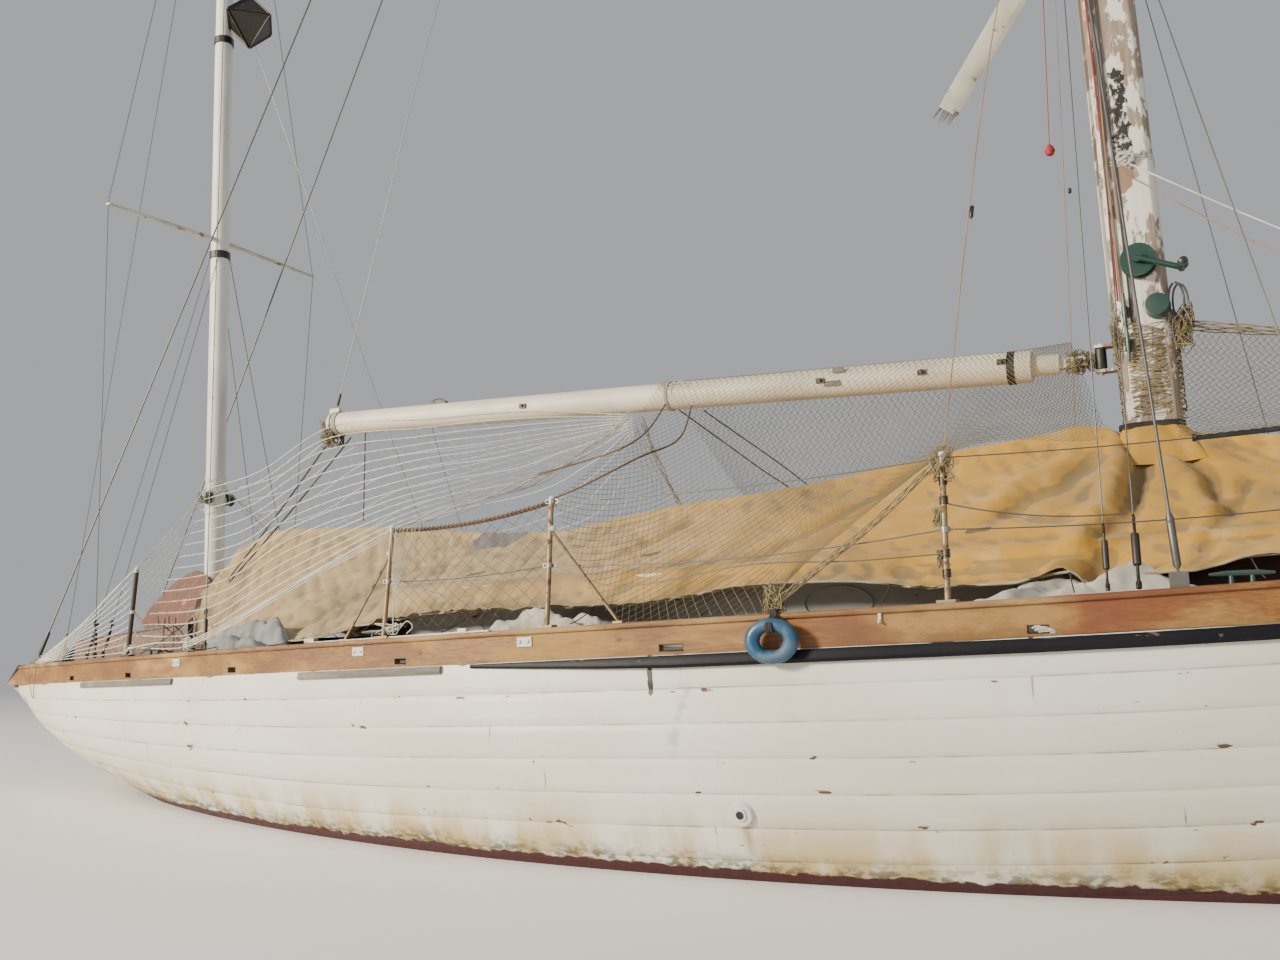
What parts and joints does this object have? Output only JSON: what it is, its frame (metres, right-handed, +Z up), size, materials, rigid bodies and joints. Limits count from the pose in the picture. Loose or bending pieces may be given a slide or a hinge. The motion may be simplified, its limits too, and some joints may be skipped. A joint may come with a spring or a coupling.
{
  "type": "yawl",
  "caption": "Wooden keel yawl laid up afloat: carvel hull with counter stern, bulwarks, tall main mast with boom, small mizzen, covered cabin and cockpit.",
  "frame": {"origin": "on the waterline, on the centreline, 7.0 m forward of the rail's after end", "axes": "+X towards the bow, +Y to port, +Z up"},
  "size_m": [13.63, 3.4445, 17.785],
  "materials": {
    "white_paint": "weathered white paint over planking",
    "varnish": "worn varnish",
    "dark_strake": "black paint",
    "grey_strake": "bare grey wood",
    "navy_paint": "dark blue paint",
    "teak": "grey laid planking",
    "mahogany": "old varnish",
    "cream_paint": "cream paint",
    "pink_wood": "faded bare wood",
    "canvas": "faded yellow cover cloth",
    "iron": "rusty, with old antifouling",
    "antifouling": "dark red antifouling",
    "bronze": "dull bronze",
    "steel": "stained stainless tube",
    "galvanised": "dull galvanised wire and fittings",
    "green_metal": "green enamel, chipped",
    "dark_metal": "dark weathered metal",
    "blue_plastic": "scuffed blue plastic"
  },
  "bodies": {
    "hull_and_rig": {"hull": "white_paint", "ballast_keel": "iron", "deck": "teak", "bulwark_starboard": "varnish", "bulwark_port": "varnish", "cap_rail_starboard": "varnish", "cap_rail_port": "varnish", "rubbing_strake_starboard": "dark_strake", "rubbing_strake_starboard_middle": "grey_strake", "rubbing_strake_starboard_aft": "grey_strake", "rubbing_strake_port": "dark_strake", "transom_board": "navy_paint", "cabin_side_starboard": "mahogany", "cabin_side_port": "mahogany", "cabin_front": "mahogany", "cabin_bulkhead": "mahogany", "cabin_roof": "cream_paint", "fore_hatch_coaming": "mahogany", "cockpit_coaming": "mahogany", "counter_box": "pink_wood", "main_mast": "white_paint", "mizzen_mast": "white_paint", "main_spreader_starboard": "white_paint", "main_spreader_upper_starboard": "white_paint", "main_spreader_upper_port": "white_paint", "mizzen_spreader_starboard": "white_paint", "mizzen_spreader_port": "white_paint", "main_spreader_port_broken": "white_paint", "mast_winch": "green_metal", "stanchion_aft_starboard": "dark_metal", "stanchion_aft_port": "dark_metal", "stanchion_gate_aft_starboard": "steel", "stanchion_gate_aft_port": "steel", "stanchion_gate_fore_starboard": "steel", "stanchion_gate_fore_port": "steel", "stanchion_middle_starboard": "steel", "stanchion_middle_port": "steel", "stanchion_fore_starboard": "steel", "stanchion_fore_port": "steel", "main_shroud_starboard": "galvanised", "main_shroud_port": "galvanised", "main_backstay_starboard": "galvanised", "main_backstay_port": "galvanised", "forestay": "galvanised", "stemhead_fitting": "galvanised", "samson_post": "varnish", "radar_reflector": "dark_metal", "cover": "canvas", "cover_ridge_pole": "varnish", "varnished_board": "varnish", "ring_fender": "blue_plastic"},
    "rudder_and_tiller": {"rudder": "antifouling", "tiller": "varnish"},
    "propeller": {"propeller": "bronze"},
    "boom": {"main_boom": "cream_paint", "gooseneck_swivel": "galvanised"},
    "fore_hatch": {"fore_hatch_lid": "mahogany"},
    "companionway": {"companionway_hatch": "mahogany"}
  },
  "joints": [
    {"name": "rudder_turn", "type": "hinge", "parent": "hull_and_rig", "child": "rudder_and_tiller", "pos_m": [-3.33, 0, -1.89], "axis": [-0.4743, 0, 0.8804], "range_deg": [-35, 35]},
    {"name": "propeller_spin", "type": "hinge", "parent": "hull_and_rig", "child": "propeller", "pos_m": [-3.65, 0, -0.96], "axis": [1, 0, 0], "continuous": true},
    {"name": "boom_swing", "type": "hinge", "parent": "hull_and_rig", "child": "boom", "pos_m": [1.41916, 0, 2.45], "axis": [0, 0, 1], "range_deg": [-65, 65]},
    {"name": "fore_hatch_open", "type": "hinge", "parent": "hull_and_rig", "child": "fore_hatch", "pos_m": [3.776, 0, 1.2891], "axis": [0, 1, 0], "range_deg": [0, 105]},
    {"name": "companionway_slide", "type": "slide", "parent": "hull_and_rig", "child": "companionway", "axis": [0.9999, 0, 0.0149], "range_m": [0, 0.7]}
  ]
}
